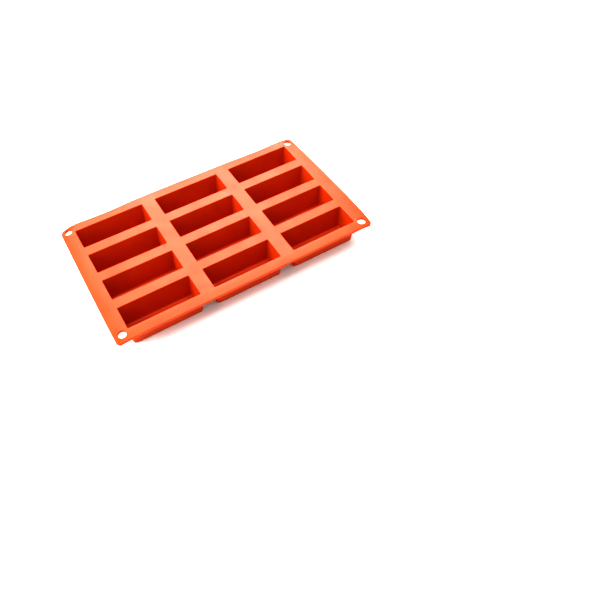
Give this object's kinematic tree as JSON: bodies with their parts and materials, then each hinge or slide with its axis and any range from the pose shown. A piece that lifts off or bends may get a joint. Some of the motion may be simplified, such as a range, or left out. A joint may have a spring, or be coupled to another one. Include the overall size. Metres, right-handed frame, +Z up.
{
  "type": "silicone soap mould",
  "caption": "Flat rectangular silicone tray with a grid of deep bar-shaped cups below its deck, a stiffening rim and a hanging hole in each corner.",
  "frame": {"origin": "centre of the tray's footprint, on the table that the cups stand on", "axes": "+X along the tray's long side to the right, +Y to the back, +Z up out of the cups' mouths"},
  "size_m": [0.3, 0.175, 0.031],
  "materials": {
    "silicone": "satin"
  },
  "bodies": {
    "middle": {"deck_middle": "silicone", "rim_front": "silicone", "rim_back": "silicone", "flex_web_left": "silicone", "flex_web_right": "silicone", "cup_wall_middle_1": "silicone", "cup_wall_middle_2": "silicone", "cup_wall_middle_3": "silicone", "cup_wall_middle_4": "silicone"},
    "left": {"deck_left": "silicone", "rim_left": "silicone", "eyelet_back_left": "silicone", "eyelet_front_left": "silicone", "cup_wall_left_1": "silicone", "cup_wall_left_2": "silicone", "cup_wall_left_3": "silicone", "cup_wall_left_4": "silicone"},
    "right": {"deck_right": "silicone", "rim_right": "silicone", "eyelet_back_right": "silicone", "eyelet_front_right": "silicone", "cup_wall_right_1": "silicone", "cup_wall_right_2": "silicone", "cup_wall_right_3": "silicone", "cup_wall_right_4": "silicone"},
    "floor_left_1": {"cup_floor_left_1": "silicone"},
    "floor_left_2": {"cup_floor_left_2": "silicone"},
    "floor_left_3": {"cup_floor_left_3": "silicone"},
    "floor_left_4": {"cup_floor_left_4": "silicone"},
    "floor_middle_1": {"cup_floor_middle_1": "silicone"},
    "floor_middle_2": {"cup_floor_middle_2": "silicone"},
    "floor_middle_3": {"cup_floor_middle_3": "silicone"},
    "floor_middle_4": {"cup_floor_middle_4": "silicone"},
    "floor_right_1": {"cup_floor_right_1": "silicone"},
    "floor_right_2": {"cup_floor_right_2": "silicone"},
    "floor_right_3": {"cup_floor_right_3": "silicone"},
    "floor_right_4": {"cup_floor_right_4": "silicone"}
  },
  "joints": [
    {"name": "left_web_bend", "type": "hinge", "parent": "middle", "child": "left", "pos_m": [-0.0475, 0, 0.03025], "axis": [0, 1, 0], "range_deg": [-25, 90], "stiffness_Nm_per_rad": 0.016, "deforming": ["flex_web_left"]},
    {"name": "right_web_bend", "type": "hinge", "parent": "middle", "child": "right", "pos_m": [0.0475, 0, 0.03025], "axis": [0, -1, 0], "range_deg": [-25, 90], "stiffness_Nm_per_rad": 0.016, "deforming": ["flex_web_right"]},
    {"name": "push_out_left_1", "type": "slide", "parent": "left", "child": "floor_left_1", "axis": [0, 0, 1], "range_m": [0, 0.012], "stiffness_N_per_m": 400, "deforming": ["cup_wall_left_1"]},
    {"name": "push_out_left_2", "type": "slide", "parent": "left", "child": "floor_left_2", "axis": [0, 0, 1], "range_m": [0, 0.012], "stiffness_N_per_m": 400, "deforming": ["cup_wall_left_2"]},
    {"name": "push_out_left_3", "type": "slide", "parent": "left", "child": "floor_left_3", "axis": [0, 0, 1], "range_m": [0, 0.012], "stiffness_N_per_m": 400, "deforming": ["cup_wall_left_3"]},
    {"name": "push_out_left_4", "type": "slide", "parent": "left", "child": "floor_left_4", "axis": [0, 0, 1], "range_m": [0, 0.012], "stiffness_N_per_m": 400, "deforming": ["cup_wall_left_4"]},
    {"name": "push_out_middle_1", "type": "slide", "parent": "middle", "child": "floor_middle_1", "axis": [0, 0, 1], "range_m": [0, 0.012], "stiffness_N_per_m": 400, "deforming": ["cup_wall_middle_1"]},
    {"name": "push_out_middle_2", "type": "slide", "parent": "middle", "child": "floor_middle_2", "axis": [0, 0, 1], "range_m": [0, 0.012], "stiffness_N_per_m": 400, "deforming": ["cup_wall_middle_2"]},
    {"name": "push_out_middle_3", "type": "slide", "parent": "middle", "child": "floor_middle_3", "axis": [0, 0, 1], "range_m": [0, 0.012], "stiffness_N_per_m": 400, "deforming": ["cup_wall_middle_3"]},
    {"name": "push_out_middle_4", "type": "slide", "parent": "middle", "child": "floor_middle_4", "axis": [0, 0, 1], "range_m": [0, 0.012], "stiffness_N_per_m": 400, "deforming": ["cup_wall_middle_4"]},
    {"name": "push_out_right_1", "type": "slide", "parent": "right", "child": "floor_right_1", "axis": [0, 0, 1], "range_m": [0, 0.012], "stiffness_N_per_m": 400, "deforming": ["cup_wall_right_1"]},
    {"name": "push_out_right_2", "type": "slide", "parent": "right", "child": "floor_right_2", "axis": [0, 0, 1], "range_m": [0, 0.012], "stiffness_N_per_m": 400, "deforming": ["cup_wall_right_2"]},
    {"name": "push_out_right_3", "type": "slide", "parent": "right", "child": "floor_right_3", "axis": [0, 0, 1], "range_m": [0, 0.012], "stiffness_N_per_m": 400, "deforming": ["cup_wall_right_3"]},
    {"name": "push_out_right_4", "type": "slide", "parent": "right", "child": "floor_right_4", "axis": [0, 0, 1], "range_m": [0, 0.012], "stiffness_N_per_m": 400, "deforming": ["cup_wall_right_4"]}
  ]
}
